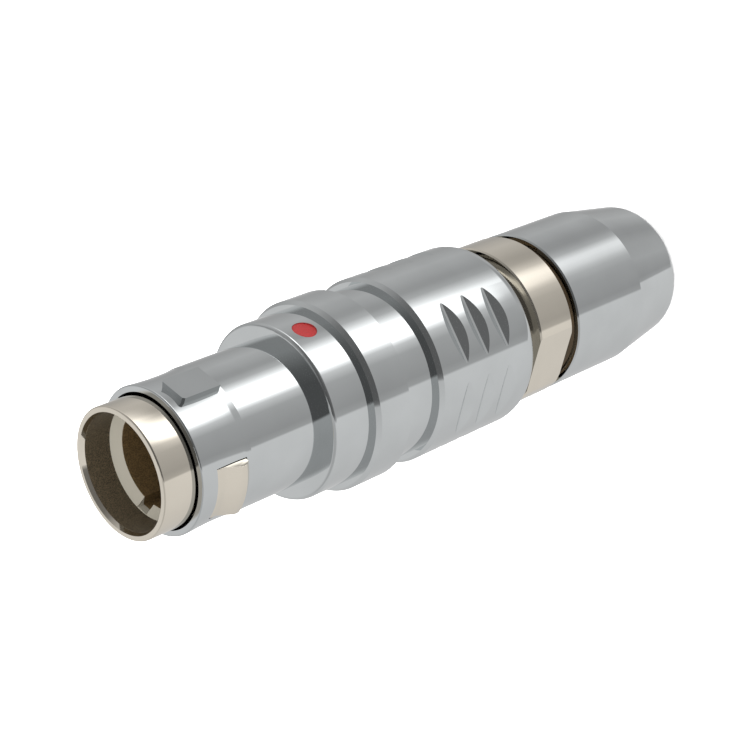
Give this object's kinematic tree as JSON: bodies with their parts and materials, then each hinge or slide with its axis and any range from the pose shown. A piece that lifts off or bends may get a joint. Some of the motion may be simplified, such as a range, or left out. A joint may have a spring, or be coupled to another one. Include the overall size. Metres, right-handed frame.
{
  "type": "push pull circular connector plug",
  "caption": "Chromed push pull circular plug with a sliding grip shell, latch lugs in side windows, a key pad, a red alignment dot and a clamp nut for the cable.",
  "frame": {"origin": "centre of the back nut's flat rear end, on the surface that the plug stands on", "axes": "+Z along the plug's axis toward the mouth, +X toward the key pad and the alignment dot, +Y toward one latch lug"},
  "size_m": [0.016, 0.016, 0.0604],
  "materials": {
    "bright_plate": "polished",
    "nickel_plate": "satin",
    "red_enamel": "satin",
    "bare_brass": "machined",
    "gold_plate": "polished",
    "spring_steel": "satin",
    "insulator_plastic": "matte",
    "seal_rubber": "matte"
  },
  "bodies": {
    "plug_core": {"guide_sleeve": "nickel_plate", "latch_sleeve": "nickel_plate", "collar_body": "nickel_plate", "shell_seal": "seal_rubber", "stop_ring": "spring_steel", "insert_carrier_a": "bare_brass", "insert_carrier_b": "bare_brass", "insulator": "insulator_plastic", "earthing_cone": "bare_brass", "cable_seal": "seal_rubber", "contact_pin_01": "gold_plate", "contact_pin_02": "gold_plate", "contact_pin_03": "gold_plate", "contact_pin_04": "gold_plate", "contact_pin_05": "gold_plate", "contact_pin_06": "gold_plate", "contact_pin_07": "gold_plate", "contact_pin_08": "gold_plate", "contact_pin_09": "gold_plate", "contact_pin_10": "gold_plate"},
    "release_shell": {"outer_shell": "bright_plate", "alignment_dot": "red_enamel"},
    "finger_a": {"latch_finger_a": "nickel_plate"},
    "finger_b": {"latch_finger_b": "nickel_plate"},
    "cable_clamp": {"cable_collet": "bare_brass", "clamp_washer": "spring_steel"},
    "clamp_nut": {"back_nut": "bright_plate"}
  },
  "joints": [
    {"name": "release", "type": "slide", "parent": "plug_core", "child": "release_shell", "axis": [0, 0, -1], "range_m": [0, 0.001], "stiffness_N_per_m": 2000, "springref_m": -0.001},
    {"name": "finger_a_press", "type": "hinge", "parent": "plug_core", "child": "finger_a", "pos_m": [0, 0.00509, 0.03745], "axis": [1, 0, 0], "range_deg": [0, 1.32]},
    {"name": "finger_b_press", "type": "hinge", "parent": "plug_core", "child": "finger_b", "pos_m": [0, -0.00509, 0.03745], "axis": [-1, 0, 0], "range_deg": [0, 1.32]},
    {"name": "nut_advance", "type": "slide", "parent": "plug_core", "child": "cable_clamp", "axis": [0, 0, -1], "range_m": [0, 0.006]},
    {"name": "nut_turn", "type": "hinge", "parent": "cable_clamp", "child": "clamp_nut", "pos_m": [0, 0, 0.008], "axis": [0, 0, -1], "range_deg": [0, 2885]}
  ],
  "couplings": [
    {"joint": "finger_a_press", "follows": "release", "rad_per_m": 22.7},
    {"joint": "finger_b_press", "follows": "release", "rad_per_m": 22.7},
    {"joint": "nut_turn", "follows": "nut_advance", "rad_per_m": 8377.6}
  ]
}
